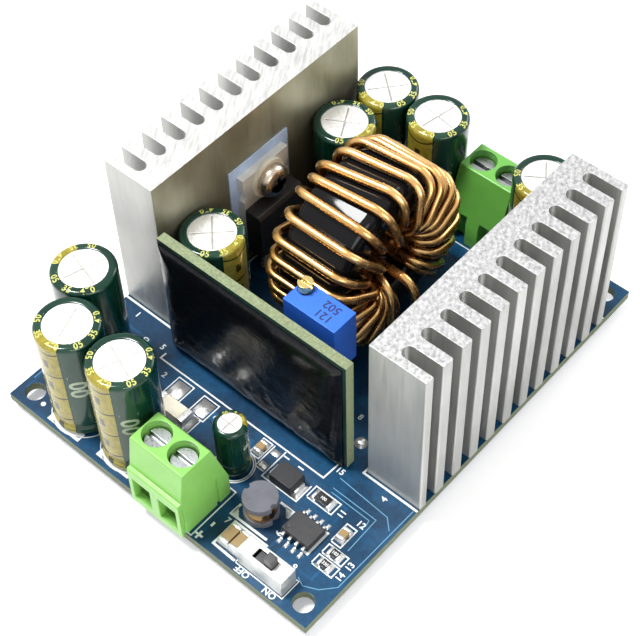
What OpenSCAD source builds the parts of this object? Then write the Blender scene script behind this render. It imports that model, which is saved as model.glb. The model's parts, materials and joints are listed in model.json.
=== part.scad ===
// Step-down converter module: a two-layer board with two extruded heatsinks, a toroidal choke on edge,
// nine electrolytic capacitors, two screw terminals with rising cages, a potted control board with a
// trimmer, and a slide switch. X runs along the input edge, Y from input to output, Z up. The origin
// is under the middle of the board, at the level of the lowest solder joints.

/* [Board] */
// Length of the input edge
board_w = 60; // [60:0.5:64]
// Distance from the input edge to the output edge
board_d = 77; // [77:0.5:80]
// Board thickness
board_t = 1.6; // [1.2:0.1:2]
// Distance of each mounting hole from the two edges beside it
hole_inset = 2.8; // [2.6:0.1:3]
// Mounting hole diameter
hole_d = 3.2; // [3:0.1:3.4]
// Depth of the solder joints under the board
joint_h = 1.5; // [1.3:0.1:2]

/* [Heatsinks] */
// Length of each extrusion
sink_len = 45; // [45:0.5:46]
// Height of each extrusion
sink_h = 31; // [28:0.5:32]
// Depth from the spine's face to the fin tips
sink_depth = 9.8; // [9.6:0.1:10]
// Spine thickness behind the slots
spine_t = 3.8; // [3.4:0.1:4]
// Distance between neighbouring slots
slot_pitch = 4; // [3.9:0.05:4.05]
// Slot width
slot_w = 2; // [1.8:0.1:2.2]
// Number of slots
slot_n = 11; // [11:1:11]

/* [Choke] */
// Outer diameter of the coated core
core_od = 27.6; // [27:0.1:27.8]
// Inner diameter of the coated core
core_id = 14.6; // [14.4:0.1:15]
// Core height along its axis
core_h = 11.4; // [11:0.1:11.6]
// Wire diameter
wire_d = 1.4; // [1.2:0.05:1.4]

/* [Capacitors] */
// Diameter over the sleeve
cap_d = 10; // [9.8:0.1:10]
// Height above the board
cap_h = 21; // [18:0.5:22]
// Diameter of the small capacitor over its sleeve
small_cap_d = 5; // [4.8:0.1:5.2]
// Height of the small capacitor
small_cap_h = 11; // [9:0.5:12]

/* [Terminals] */
// Distance between the two poles
pole_pitch = 5.08; // [5:0.04:5.08]
// Height of a terminal housing
terminal_h = 14.2; // [14.2:0.1:15]
// Travel of a clamp cage
cage_travel = 2.4; // [1:0.1:2.4]

/* [Control board] */
// Length along the main board
control_w = 35.7; // [34:0.1:36]
// Height of its top edge above the main board
control_h = 24.6; // [24.6:0.1:25]
// Thickness
control_t = 1.6; // [1.4:0.1:1.6]

/* [Switch] */
// Travel of the slider
slider_travel = 2; // [1:0.1:2]

/* [Hidden] */
$fn = 48;
e = 0.01;

// Levels
board_z = joint_h;
top_z = board_z + board_t;
signal_joint_h = joint_h - 0.3;

// Clearance around a lead in its drilled hole, and the usual distance between pins
drill_gap = 0.15;
pin_pitch = 2.54;

// Sides of a swept wire, and steps round each of its corners
wire_sides = 8;
arc_steps = 4;

// Heatsinks: x of the spine faces, and the middle of each extrusion along Y
sink_face_x = 20.35;
sink_left_y = 9.2;
sink_right_y = 8.5;
tip_r = 0.35;
sink_pin_r = 0.72;
sink_pin_depth = 4;
sink_pin_y = 17.5;
sink_pin_in = 1.9;
pin_slip = 0.03;

// Transistors: one on each spine, insulated by a pad and a bush
transistor_y = 8.1;
pad_size = [0.25, 13, 19];
pad_low_z = 3.3;
tab_t = 1.3;
tab_w = 10.1;
case_low_z = 4.9;
case_h = 9.2;
case_t = 3.1;
tab_top_z = 20.5;
tab_hole_z = tab_top_z - 2.8;
lead_u = 2.7;
screw_r = 1.47;
screw_slip = 0.06;
tab_hole_d = 3.8;
bush_neck_d = 3.6;
screw_len = 6;
screw_head_r = 2.8;
screw_head_h = 2;
bush_flange_r = 3.4;
bush_flange_t = 0.7;

// Choke: axis along X, [y, z] of a place in the bore counted from the axis
wire_r = wire_d / 2;
wire_gap = 0.1;
face_gap = 0.7;
core_edge = 1.7;
choke_y = 9.3;
coil_r = core_od / 2 + wire_gap + wire_r;
coil_x = core_h / 2 + face_gap + wire_r;
choke_z = top_z + coil_r + wire_r + 0.1;
bore_r = core_id / 2 - wire_gap - wire_r;
layer_step = 1.25;
tight_bend = 2.8;
wide_bend = 3;
turns = 28;
start_in_bore = [-2.1, 0.8];
start_turn = [-0.3, -5.6];
end_in_bore = [-3.85, 0.9];
end_out_x = 4.6;

// Capacitors: [x, y, direction of the stripe in degrees, direction of the vent score]
big_caps = [[-24.6, -24.3, 180, 75], [-19, -32.7, -90, 20], [-8.8, -32.4, -90, 70],
    [-15.2, -7.3, 0, 45], [-15.2, 22.4, 0, 30], [-15, 32.6, -90, 50],
    [-4.9, 32.6, -90, 80], [15.45, 32.9, -90, 35]];
small_cap = [4.7, -25.6, 60, 0];
sleeve_t = 0.2;
cap_pitch = 5;
small_cap_pitch = 2;
cap_lead_r = 0.35;
small_cap_lead_r = 0.25;

// Terminals, in a frame at the middle between the poles on the board, front towards -Y
input_at = [2.55, -34.9];
output_at = [5.2, 34.9];
housing_side = 0.04;
housing_w = 2 * pole_pitch - 2 * housing_side;
front_y = -4.5;
back_y = 5.5;
ledge_z = 8.3;
window_w = 3.5;
window_z = [1.4, 6.2];
chamber_w = 4.2;
chamber_y = [-3.2, 3.1];
chamber_z = [0.9, 9.6];
well_floor_z = 10.6;
well_r = 2.2;
neck_r = 1.6;
clamp_screw_r = 1.45;
clamp_head_r = 2;
clamp_head_h = 2.2;
cage_size = [4, 3.8, 5.6];
cage_wall = 0.45;
cage_slip = 0.1;
cage_z = 1.1;
bar_z = [4.9, 5.6];
bar_w = 2.4;
contact_pin_r = 0.55;
contact_y = 2.6;

// Control board and trimmer
control_x = -0.15;
control_y = [-15.5, -13.9];
control_foot_z = 0.4;
control_pin_n = 10;
control_pin_half = 0.32;
control_pin_y = -12.6;
trimmer_size = [9.53, 4.7, 10];
trimmer_at = [2.35, -11.2, 13.4];
trimmer_mid_x = trimmer_at[0] + trimmer_size[0] / 2;
trimmer_pin_z = 10.9;
trimmer_screw_at = [3.7, -7.85];
trimmer_screw_r = 0.8;

// Slide switch
switch_at = [20.2, -35.5];
switch_size = [8.4, 3.1, 3.6];
shell_t = 0.3;
slider_rest = slider_travel / 2;
knob_size = [1.5, 1.4, 2.1];
switch_pin_pitch = 2;

// Small parts on the board top: [x, y, length, width, height, turned along Y]
resistors = [[18.6, -21.7, 3.2, 1.6, 0.6, 0], [25.7, -27.35, 2, 1.25, 0.55, 0],
    [25.7, -29.5, 2, 1.25, 0.55, 0]];
ceramics = [[12.65, -34.75, 3.2, 1.6, 1.3, 1], [14.5, -34.75, 3.2, 1.6, 1.3, 1],
    [24.6, -24.2, 2, 1.25, 0.9, 1], [5.75, -21, 2, 1.25, 0.9, 1]];
drum_at = [13.2, -28.95];
drum_r = 2.65;
drum_h = 4.5;
ic_at = [20.05, -27.6];
diode_at = [12.55, -22.8];
fuse_at = [-8.3, -25];
fuse_size = [6.1, 2.5, 2.2];

// Outlines and placing

module from_board(at, turn = 0) {
    translate([at[0], at[1], top_z]) rotate([0, 0, turn]) children();
}

// Both sides of the board, children modelled at +X with the spine's face at x = 0 and facing -X
module at_spine(side, y) {
    translate([side * sink_face_x, y, top_z]) mirror([side < 0 ? 1 : 0, 0, 0]) children();
}

module box(size, at = [0, 0, 0]) {
    translate([at[0] - size[0] / 2, at[1] - size[1] / 2, at[2]]) cube(size);
}

// Round wire swept along a path, with an arc at each corner

function unit(v) = v / norm(v);
function corner_angle(a, b, c) = acos(max(-1, min(1, unit(b - a) * unit(c - b))));

function corner_arc(a, b, c, bend) =
    let (d = unit(b - a), angle = corner_angle(a, b, c), out = cross(d, unit(cross(d, c - b))),
        centre = b - bend * tan(angle / 2) * d - bend * out)
    [for (k = [0 : arc_steps]) let (t = angle * k / arc_steps) centre + bend * (cos(t) * out + sin(t) * d)];

function rounded(path, bends) = concat([path[0]],
    [for (i = [1 : len(path) - 2]) each corner_arc(path[i - 1], path[i], path[i + 1], bends[i - 1])],
    [path[len(path) - 1]]);

function direction(p, i) = i == 0 ? unit(p[1] - p[0]) : i == len(p) - 1 ? unit(p[i] - p[i - 1])
    : unit(unit(p[i] - p[i - 1]) + unit(p[i + 1] - p[i]));

function square_to(u, d) = unit(u - (u * d) * d);

module wire(path, bends, r) {
    p = rounded(path, bends);
    n = len(p);
    d = [for (i = [0 : n - 1]) direction(p, i)];
    u = [for (i = 0, side = square_to([1, 0.2, 0.1], d[0]); i < n;
        i = i + 1, side = i < n ? square_to(side, d[i]) : side) side];
    rings = [for (i = [0 : n - 1], k = [0 : wire_sides - 1]) let (a = 360 * k / wire_sides)
        p[i] + r * (cos(a) * u[i] + sin(a) * cross(d[i], u[i]))];
    walls = [for (i = [0 : n - 2], k = [0 : wire_sides - 1]) let (next = (k + 1) % wire_sides)
        [i * wire_sides + k, (i + 1) * wire_sides + k, (i + 1) * wire_sides + next, i * wire_sides + next]];
    ends = [[for (k = [0 : wire_sides - 1]) k],
        [for (k = [wire_sides - 1 : -1 : 0]) (n - 1) * wire_sides + k]];
    polyhedron(rings, concat(walls, ends));
}

// Places of the leads that go through the board

function turned(v, a) = [v[0] * cos(a) - v[1] * sin(a), v[0] * sin(a) + v[1] * cos(a)];
function pair(at, pitch, a) = [for (s = [-1, 1]) [at[0], at[1]] + turned([s * pitch / 2, 0], a)];
function terminal_pins(at, a) = [for (s = [-1, 1]) at + turned([s * pole_pitch / 2, contact_y], a)];

choke_sites = [[11.6, choke_y + start_in_bore[0]], [10, 3.7]];
terminal_sites = concat(terminal_pins(input_at, 0), terminal_pins(output_at, 180));
sink_pin_sites = [for (s = [-1, 1], k = [-1, 1])
    [s * (sink_face_x + sink_pin_in), (s < 0 ? sink_left_y : sink_right_y) + k * sink_pin_y]];
big_cap_sites = [for (c = big_caps) each pair(c, cap_pitch, c[2])];
small_cap_sites = pair(small_cap, small_cap_pitch, small_cap[2]);
transistor_sites = [for (s = [-1, 1], k = [-1, 0, 1])
    [s * (sink_face_x - lead_u), transistor_y + k * pin_pitch]];
control_sites = [for (k = [0 : control_pin_n - 1])
    [control_x + (k - (control_pin_n - 1) / 2) * pin_pitch, control_pin_y]];
switch_sites = [for (k = [-1, 0, 1]) switch_at + [k * switch_pin_pitch, 0]];

// Board with its mounting and lead holes

module drill(sites, r) {
    for (at = sites)
        translate([at[0], at[1], board_z - 1]) cylinder(r = r + drill_gap, h = board_t + 2);
}

module mounting_holes() {
    for (sx = [-1, 1], sy = [-1, 1])
        translate([sx * (board_w / 2 - hole_inset), sy * (board_d / 2 - hole_inset), board_z - 1])
            cylinder(d = hole_d, h = board_t + 2);
}

module main_board() {
    color("#1c5a8c") difference() {
        box([board_w, board_d, board_t], [0, 0, board_z]);
        mounting_holes();
        drill(terminal_sites, contact_pin_r);
        drill(sink_pin_sites, sink_pin_r);
        drill(choke_sites, wire_r);
        drill(big_cap_sites, cap_lead_r);
        drill(small_cap_sites, small_cap_lead_r);
        drill(transistor_sites, 0.5);
        drill(control_sites, control_pin_half * sqrt(2));
        drill(switch_sites, 0.3);
    }
}

// Heatsinks: a spine with fins, extruded upwards

module fin_outline(len, t) {
    square([len - tip_r, t]);
    translate([len - 2 * tip_r, tip_r]) square([2 * tip_r, t - 2 * tip_r]);
    for (y = [tip_r, t - tip_r])
        translate([len - tip_r, y]) circle(r = tip_r, $fn = 24);
}

module sink_outline() {
    first = (sink_len - (slot_n - 1) * slot_pitch - slot_w) / 2;
    slot_ys = [for (k = [0 : slot_n - 1]) first + k * slot_pitch];
    difference() {
        union() {
            square([spine_t + slot_w, sink_len]);
            for (k = [0 : slot_n]) {
                low = k == 0 ? 0 : slot_ys[k - 1] + slot_w;
                high = k == slot_n ? sink_len : slot_ys[k];
                translate([0, low]) fin_outline(sink_depth, high - low);
            }
        }
        for (y = slot_ys) {
            translate([spine_t + slot_w / 2, y]) square([sink_depth, slot_w]);
            translate([spine_t + slot_w / 2, y + slot_w / 2]) circle(d = slot_w);
        }
    }
}

module heatsink(side, y) {
    color("#c9cbc8") difference() {
        at_spine(side, y) translate([0, -sink_len / 2, 0]) linear_extrude(sink_h) sink_outline();
        at_spine(side, transistor_y) translate([-1, 0, tab_hole_z]) rotate([0, 90, 0])
            cylinder(r = screw_r + screw_slip, h = spine_t + slot_w + 1);
        at_spine(side, y) for (k = [-1, 1])
            translate([sink_pin_in, k * sink_pin_y, -1])
                cylinder(r = sink_pin_r + pin_slip, h = sink_pin_depth + 1);
    }
}

module heatsink_left() heatsink(-1, sink_left_y);
module heatsink_right() heatsink(1, sink_right_y);

module heatsink_pins() {
    color("silver") for (at = sink_pin_sites)
        translate([at[0], at[1], board_z])
            cylinder(r = sink_pin_r, h = board_t + sink_pin_depth - 0.1);
}

// Transistors, modelled from the spine's face towards -X

module transistor_leadframe(side) {
    tab_x = -pad_size[0] - tab_t;
    color("#b9b6ae") at_spine(side, transistor_y) {
        difference() {
            translate([tab_x, -tab_w / 2, case_low_z + 0.4])
                cube([tab_t, tab_w, tab_top_z - case_low_z - 0.4]);
            translate([tab_x - 1, 0, tab_hole_z]) rotate([0, 90, 0]) cylinder(d = tab_hole_d, h = tab_t + 2);
            for (s = [-1, 1])
                translate([tab_x - 1, s * (tab_w / 2 + 0.5), tab_top_z - 3.9]) rotate([0, 90, 0])
                    cylinder(r = 1.1, h = tab_t + 2);
        }
        for (k = [-1, 0, 1]) {
            box([0.5, 1.3, case_low_z - 1], [-lead_u, k * pin_pitch, 1]);
            box([0.5, 0.8, 1 + board_t], [-lead_u, k * pin_pitch, -board_t]);
        }
    }
}

module transistor_case(side) {
    back = -pad_size[0] - tab_t;
    low = case_low_z;
    color("#1b1b1d") at_spine(side, transistor_y) difference() {
        rotate([90, 0, 0]) translate([0, 0, -tab_w / 2]) linear_extrude(tab_w)
            polygon([[back, low], [back - case_t, low], [back - case_t, low + case_h - 0.7],
                [back - case_t + 0.5, low + case_h], [back, low + case_h]]);
        translate([back - case_t - 1, 0, low + 6.6]) rotate([0, 90, 0]) cylinder(d = 1.6, h = 1.15);
    }
}

module transistor_left_leadframe() transistor_leadframe(-1);
module transistor_right_leadframe() transistor_leadframe(1);
module transistor_left_case() transistor_case(-1);
module transistor_right_case() transistor_case(1);

module insulating_pads() {
    color("#9db4d6") for (side = [-1, 1])
        at_spine(side, transistor_y) difference() {
            translate([-pad_size[0], -pad_size[1] / 2, pad_low_z]) cube(pad_size);
            translate([-1, 0, tab_hole_z]) rotate([0, 90, 0]) cylinder(d = tab_hole_d, h = 2);
        }
}

module insulating_bushes() {
    x = -pad_size[0] - tab_t;
    color("#e8e6de") for (side = [-1, 1])
        at_spine(side, transistor_y) translate([0, 0, tab_hole_z]) rotate([0, 90, 0]) difference() {
            union() {
                translate([0, 0, x - bush_flange_t]) cylinder(r = bush_flange_r, h = bush_flange_t);
                translate([0, 0, x - e]) cylinder(d = bush_neck_d, h = tab_t);
            }
            translate([0, 0, x - 2]) cylinder(r = screw_r + screw_slip, h = 5);
        }
}

module transistor_screws() {
    x = -pad_size[0] - tab_t - bush_flange_t;
    color("#a9a8a2") for (side = [-1, 1])
        at_spine(side, transistor_y) translate([x, 0, tab_hole_z]) rotate([0, 90, 0]) difference() {
            union() {
                cylinder(r = screw_r, h = screw_len);
                rotate_extrude() polygon(concat([[0, 0], [screw_head_r, 0]],
                    [for (a = [0 : 15 : 90]) [screw_head_r - 1.2 + 1.2 * cos(a), -0.8 - 1.2 * sin(a)]],
                    [[0, -screw_head_h]]));
            }
            for (a = [0, 90])
                rotate([0, 0, a]) box([3, 0.7, 1.2], [0, 0, -screw_head_h - 0.1]);
        }
}

// Choke: a coated ring core and one continuous winding, open at the left and dense at the right

function lean(i) = max(0, min(10, 2 * (i - 7), 5 * (16 - i)));
function outer_angle(i) = i < 13 ? -50 + 9 * i : i < 19 ? 58 + 15.3 * (i - 12) : 149.8 + 12 * (i - 18);
function inner_angle(i) = i < 13 ? -50 + 9.6 * i : i < 16 ? 72.8 + 14 * (i - 13)
    : i < 19 ? 122 + 22 * (i - 16) : 184.5 + 8.3 * (i - 19);
function layer(i) = i % 2;
function inner_r(i) = bore_r - layer_step * layer(i);
function inner_x(i) = coil_x + layer_step * layer(i);
function coil_point(x, r, a) = [x, choke_y + r * cos(a), choke_z + r * sin(a)];
function bore_point(x, at) = [x, choke_y + at[0], choke_z + at[1]];

function turn_path(i) = [
    coil_point(inner_x(i), inner_r(i), inner_angle(i)),
    coil_point(-inner_x(i), inner_r(i), inner_angle(i)),
    coil_point(-coil_x, coil_r, outer_angle(i + 1) + lean(i + 1)),
    coil_point(coil_x, coil_r, outer_angle(i + 1))];

// The first lead goes through the bore to the far side, where the turns begin
start_path = [
    [choke_sites[0][0], choke_sites[0][1], board_z],
    bore_point(choke_sites[0][0], start_in_bore),
    bore_point(-coil_x - layer_step, start_in_bore),
    bore_point(-coil_x - layer_step, start_turn),
    coil_point(-coil_x, coil_r, outer_angle(0)),
    coil_point(coil_x, coil_r, outer_angle(0))];

// The last one comes back through the bore from the far side
end_x = -coil_x - 2 * layer_step - 0.1;
end_path = [
    coil_point(inner_x(turns - 1), inner_r(turns - 1), inner_angle(turns - 1)),
    coil_point(end_x, inner_r(turns - 1), inner_angle(turns - 1)),
    bore_point(end_x, end_in_bore),
    bore_point(end_out_x, end_in_bore),
    [choke_sites[1][0], choke_sites[1][1], choke_z + end_in_bore[1]],
    [choke_sites[1][0], choke_sites[1][1], board_z]];

module choke_core() {
    half = core_h / 2;
    width = (core_od - core_id) / 2;
    color("#2b2b2f") translate([0, choke_y, choke_z]) rotate([0, 90, 0]) rotate_extrude($fn = 96)
        translate([core_id / 2, -half]) difference() {
            square([width, core_h]);
            for (out = [0, 1], top = [0, 1])
                translate([out * width, top * core_h]) mirror([out, 0]) mirror([0, top]) difference() {
                    translate([-1, -1]) square(core_edge + 1);
                    translate([core_edge, core_edge]) circle(r = core_edge);
                }
        }
}

module choke_winding() {
    path = concat(start_path, [for (i = [0 : turns - 2]) each turn_path(i)], end_path);
    bends = [for (i = [1 : len(path) - 2]) path[i][0] < 0 ? tight_bend : wide_bend];
    color("#b87333") wire(path, bends, wire_r);
}

// Capacitors

module can_outline(r, h) {
    groove = min(0.45, r / 10);
    difference() {
        translate([0, 0.3]) square([r, h - 0.3]);
        translate([r + 0.35 * r / 5, 2.2]) circle(r = groove + 0.35 * r / 5);
        translate([r - 0.5, h - 0.5]) difference() {
            square(1);
            circle(r = 0.5);
        }
    }
}

module can(c, r, h) {
    from_board(c) difference() {
        rotate_extrude() can_outline(r - sleeve_t, h - sleeve_t);
        for (a = [0, 90])
            rotate([0, 0, c[3] + a]) box([1.3 * r, 0.3, 1], [0, 0, h - sleeve_t - 0.12]);
    }
}

module capacitor_cans() {
    color("#d9dad6") {
        for (c = big_caps)
            can(c, cap_d / 2, cap_h);
        can(small_cap, small_cap_d / 2, small_cap_h);
    }
}

module capacitor_sleeve(c, d, h) {
    r = d / 2;
    color("#0d4a36") from_board(c) rotate_extrude() difference() {
        can_outline(r, h);
        translate([0, -0.5]) square([r - sleeve_t, 2.2 - 0.5]);
        can_outline(r - sleeve_t, h - sleeve_t);
        translate([0, h - 1]) square([0.73 * r, 2]);
    }
}

module capacitor_sleeve_in_1() capacitor_sleeve(big_caps[0], cap_d, cap_h);
module capacitor_sleeve_in_2() capacitor_sleeve(big_caps[1], cap_d, cap_h);
module capacitor_sleeve_in_3() capacitor_sleeve(big_caps[2], cap_d, cap_h);
module capacitor_sleeve_mid() capacitor_sleeve(big_caps[3], cap_d, cap_h);
module capacitor_sleeve_out_1() capacitor_sleeve(big_caps[4], cap_d, cap_h);
module capacitor_sleeve_out_2() capacitor_sleeve(big_caps[5], cap_d, cap_h);
module capacitor_sleeve_out_3() capacitor_sleeve(big_caps[6], cap_d, cap_h);
module capacitor_sleeve_out_4() capacitor_sleeve(big_caps[7], cap_d, cap_h);
module capacitor_sleeve_small() capacitor_sleeve(small_cap, small_cap_d, small_cap_h);

module capacitor_bungs() {
    color("#1a1a1a") {
        for (c = big_caps)
            from_board(c) cylinder(r = cap_d / 2 - 1, h = 0.3);
        from_board(small_cap) cylinder(r = small_cap_d / 2 - 0.5, h = 0.3);
    }
}

module capacitor_leads() {
    color("silver") {
        for (at = big_cap_sites)
            translate([at[0], at[1], board_z]) cylinder(r = cap_lead_r, h = board_t);
        for (at = small_cap_sites)
            translate([at[0], at[1], board_z]) cylinder(r = small_cap_lead_r, h = board_t);
    }
}

// Screw terminals, modelled with the wire side towards -Y

module pole(k) {
    translate([(k - 0.5) * pole_pitch, 0, 0]) children();
}

module housing_outline() {
    polygon([[front_y, 0], [front_y, ledge_z - 0.2], [front_y + 0.2, ledge_z], [front_y + 0.7, ledge_z],
        [-2.95, terminal_h - 0.2], [-2.75, terminal_h], [2.65, terminal_h],
        [2.85, terminal_h - 0.2], [back_y, 4.7], [back_y, 0]]);
}

module terminal_housing() {
    dovetail_ys = [front_y + 0.75, 3];
    color("#5fae4a") difference() {
        union() {
            rotate([90, 0, 90]) translate([0, 0, -housing_w / 2]) linear_extrude(housing_w)
                housing_outline();
            for (y = dovetail_ys)
                translate([-housing_w / 2 - 0.25, y - 0.2, 0.8]) cube([1, 0.4, 5]);
        }
        for (y = dovetail_ys)
            translate([housing_w / 2 - 0.35, y - 0.25, -1]) cube([1, 0.5, 7.5]);
        for (k = [0, 1])
            pole(k) {
                translate([0, 0, well_floor_z]) cylinder(r = well_r, h = 5);
                translate([0, 0, 8]) cylinder(r = neck_r, h = 5);
                translate([-chamber_w / 2, chamber_y[0], chamber_z[0]])
                    cube([chamber_w, chamber_y[1] - chamber_y[0], chamber_z[1] - chamber_z[0]]);
                translate([-window_w / 2, front_y - 1, window_z[0]])
                    cube([window_w, 3, window_z[1] - window_z[0]]);
                translate([-1.3, chamber_y[1] + 0.7, -1]) cube([2.6, 3, 7]);
                translate([0, contact_y, -1]) cylinder(r = contact_pin_r + 0.1, h = 3);
            }
    }
}

module terminal_contacts() {
    color("#cfcfc9") for (k = [0, 1])
        pole(k) {
            translate([-bar_w / 2, -1.6, bar_z[0]]) cube([bar_w, contact_y + 2, bar_z[1] - bar_z[0]]);
            translate([-bar_w / 2, contact_y - 0.4, chamber_z[0]])
                cube([bar_w, 0.8, bar_z[1] - chamber_z[0]]);
            translate([0, contact_y, -board_t]) cylinder(r = contact_pin_r, h = board_t + chamber_z[0] + 0.2);
        }
}

module clamp_screw(k) {
    color("#c4c6c8") pole(k) difference() {
        union() {
            translate([0, 0, bar_z[1] + 0.05]) cylinder(r = clamp_screw_r, h = well_floor_z - bar_z[1]);
            translate([0, 0, well_floor_z]) cylinder(r = clamp_head_r, h = clamp_head_h);
        }
        box([5, 0.7, 2], [0, 0, well_floor_z + clamp_head_h - 1]);
    }
}

module clamp_cage(k) {
    color("#d8d4c8") pole(k) difference() {
        box(cage_size, [0, 0, cage_z]);
        box([cage_size[0] - 2 * cage_wall, cage_size[1] + 2, cage_size[2] - 1.6], [0, 0, cage_z + 0.7]);
        translate([0, 0, cage_z + 3]) cylinder(r = clamp_screw_r + cage_slip, h = 5);
    }
}

module at_input() from_board(input_at) children();
module at_output() from_board(output_at, 180) children();

module input_terminal_housing() at_input() terminal_housing();
module input_terminal_contacts() at_input() terminal_contacts();
module input_terminal_screw_a() at_input() clamp_screw(0);
module input_terminal_screw_b() at_input() clamp_screw(1);
module input_terminal_cage_a() at_input() clamp_cage(0);
module input_terminal_cage_b() at_input() clamp_cage(1);
module output_terminal_housing() at_output() terminal_housing();
module output_terminal_contacts() at_output() terminal_contacts();
module output_terminal_screw_a() at_output() clamp_screw(0);
module output_terminal_screw_b() at_output() clamp_screw(1);
module output_terminal_cage_a() at_output() clamp_cage(0);
module output_terminal_cage_b() at_output() clamp_cage(1);

// Control board, its potting and pins

module control_board() {
    color("#12402f") from_board([control_x, control_y[0]]) difference() {
        translate([-control_w / 2, 0, control_foot_z])
            cube([control_w, control_t, control_h - control_foot_z]);
        for (k = [-1, 0, 1])
            translate([trimmer_mid_x + k * pin_pitch - control_x, -1, trimmer_pin_z])
                rotate([-90, 0, 0]) cylinder(r = 0.4, h = control_t + 2, $fn = 24);
    }
}

module control_potting() {
    pot_y = control_y[0];
    color("#0c0e10") from_board([control_x, pot_y]) {
        hull() for (x = [-16.3, 16], z = [1.6, 22.6])
            translate([x, 0, z]) rotate([90, 0, 0]) cylinder(r1 = 1.2, r2 = 0.5, h = 1.4, $fn = 24);
        hull() for (x = [-8, 2], z = [8, 18])
            translate([x, -1.3, z]) rotate([90, 0, 0]) cylinder(r1 = 2, r2 = 0.8, h = 0.8, $fn = 24);
        hull() for (x = [6, 13.5], z = [3, 8])
            translate([x, -1.3, z]) rotate([90, 0, 0]) cylinder(r1 = 1.6, r2 = 0.6, h = 1.1, $fn = 24);
    }
}

module control_pins() {
    color("#c9b676") for (at = control_sites)
        from_board(at) {
            box([2 * control_pin_half, 2 * control_pin_half, board_t + 2.2], [0, 0, -board_t]);
            translate([-control_pin_half, control_y[1] - control_pin_y, 2.2])
                cube([2 * control_pin_half, control_pin_y - control_y[1] + control_pin_half,
                    2 * control_pin_half]);
        }
}

// Trimmer behind the control board

module trimmer_body() {
    stand = 0.4;
    color("#2a5fd0") from_board([0, 0]) difference() {
        translate(trimmer_at) cube(trimmer_size);
        translate(trimmer_at + [1.2, -1, -1]) cube([trimmer_size[0] - 2.4, trimmer_size[1] + 2, 1 + stand]);
        translate([trimmer_screw_at[0], trimmer_screw_at[1], trimmer_at[2] + trimmer_size[2] - 5])
            cylinder(r = trimmer_screw_r + 0.05, h = 6);
        translate([trimmer_screw_at[0], trimmer_screw_at[1], trimmer_at[2] + trimmer_size[2] - 0.3])
            cylinder(r = 1.2, h = 1);
    }
}

module trimmer_screw() {
    top = trimmer_at[2] + trimmer_size[2];
    color("#d8b24a") from_board(trimmer_screw_at) difference() {
        union() {
            translate([0, 0, top - 4.9]) cylinder(r = trimmer_screw_r, h = 5.1);
            translate([0, 0, top + 0.15]) cylinder(r = 1.15, h = 1.35);
        }
        box([3, 0.45, 1], [0, 0, top + 0.8]);
    }
}

module trimmer_pins() {
    y = trimmer_at[1] + trimmer_size[1] / 2;
    z = trimmer_at[2] + 0.4;
    color("#d0c9a8") for (k = [-1, 0, 1])
        from_board([trimmer_mid_x + k * pin_pitch, y])
            wire([[0, 0, z], [0, 0, trimmer_pin_z], [0, control_y[0] - y, trimmer_pin_z]], [0.8], 0.25);
}

// Slide switch

module switch_shell() {
    inner = [switch_size[0] - 2 * shell_t, switch_size[1] - 2 * shell_t, switch_size[2] - shell_t];
    window = [knob_size[0] + slider_travel + 0.1, knob_size[1] + 0.2, 2];
    color("#dcdcd6") from_board(switch_at) difference() {
        box(switch_size);
        box(inner + [0, 0, 1], [0, 0, -1]);
        box(window, [0, 0, switch_size[2] - 1]);
    }
}

module switch_base() {
    color("#262626") from_board(switch_at)
        box([switch_size[0] - 2 * shell_t - 0.04, switch_size[1] - 2 * shell_t - 0.04, 2.1]);
}

module switch_slider() {
    color("#3a3a3c") from_board(switch_at + [slider_rest, 0]) {
        box([5, 2.3, 1], [0, 0, 2.15]);
        box(knob_size, [0, 0, 3.1]);
    }
}

module switch_pins() {
    color("silver") for (at = switch_sites)
        translate([at[0], at[1], board_z]) cylinder(r = 0.3, h = board_t);
}

// Small parts on the board's top

module drum_choke_core() {
    color("#6d6e72") from_board(drum_at) difference() {
        union() {
            cylinder(r = drum_r, h = 1.2);
            cylinder(r = 1.5, h = drum_h);
            translate([0, 0, 3.3]) cylinder(r = drum_r, h = drum_h - 3.3);
        }
        for (s = [-1, 1])
            translate([s * drum_r, 0, -1]) cylinder(r = 0.45, h = drum_h + 2, $fn = 24);
    }
}

module drum_choke_winding() {
    color("#a8602c") from_board(drum_at) difference() {
        translate([0, 0, 1.2]) cylinder(r = 2.35, h = 2.1);
        cylinder(r = 1.5, h = drum_h);
    }
}

module ic_body() {
    color("#232426") from_board(ic_at) difference() {
        rotate([90, 0, 90]) translate([0, 0, -2.45]) linear_extrude(4.9)
            polygon([[-1.95, 0.95], [-1.95, 0.75], [-1.85, 0.15], [1.85, 0.15], [1.95, 0.75],
                [1.95, 0.95], [1.85, 1.55], [-1.85, 1.55]]);
        translate([-1.9, -1.2, 1.45]) cylinder(r = 0.35, h = 1);
    }
}

module ic_leads() {
    color("silver") from_board(ic_at) for (k = [-1.5 : 1.5], s = [-1, 1])
        translate([k * 1.27 - 0.2, 0, 0]) mirror([0, s < 0 ? 1 : 0, 0])
            rotate([90, 0, 90]) linear_extrude(0.4)
                polygon([[1.95, 0.75], [2.35, 0.75], [2.5, 0], [3, 0], [3, 0.2], [2.62, 0.2],
                    [2.5, 0.95], [1.95, 0.95]]);
}

module diode_body() {
    color("#1d1e20") from_board(diode_at) rotate([90, 0, 0]) translate([0, 0, -1.6]) linear_extrude(3.2)
        polygon([[-2.15, 1.1], [-2.05, 0.15], [2.05, 0.15], [2.15, 1.1], [2, 2.2], [-2, 2.2]]);
}

module diode_tabs() {
    color("silver") from_board(diode_at) for (s = [0, 1])
        mirror([s, 0, 0]) rotate([90, 0, 0]) translate([0, 0, -1]) linear_extrude(2)
            polygon([[2.15, 1.1], [2.6, 1.1], [2.6, 0], [1.2, 0], [1.2, 0.15], [2.05, 0.15]]);
}

module fuse_body() {
    color("#e9e6dc") from_board(fuse_at)
        box([fuse_size[0] - 2, fuse_size[1] - 0.1, fuse_size[2] - 0.1], [0, 0, 0.05]);
}

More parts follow.
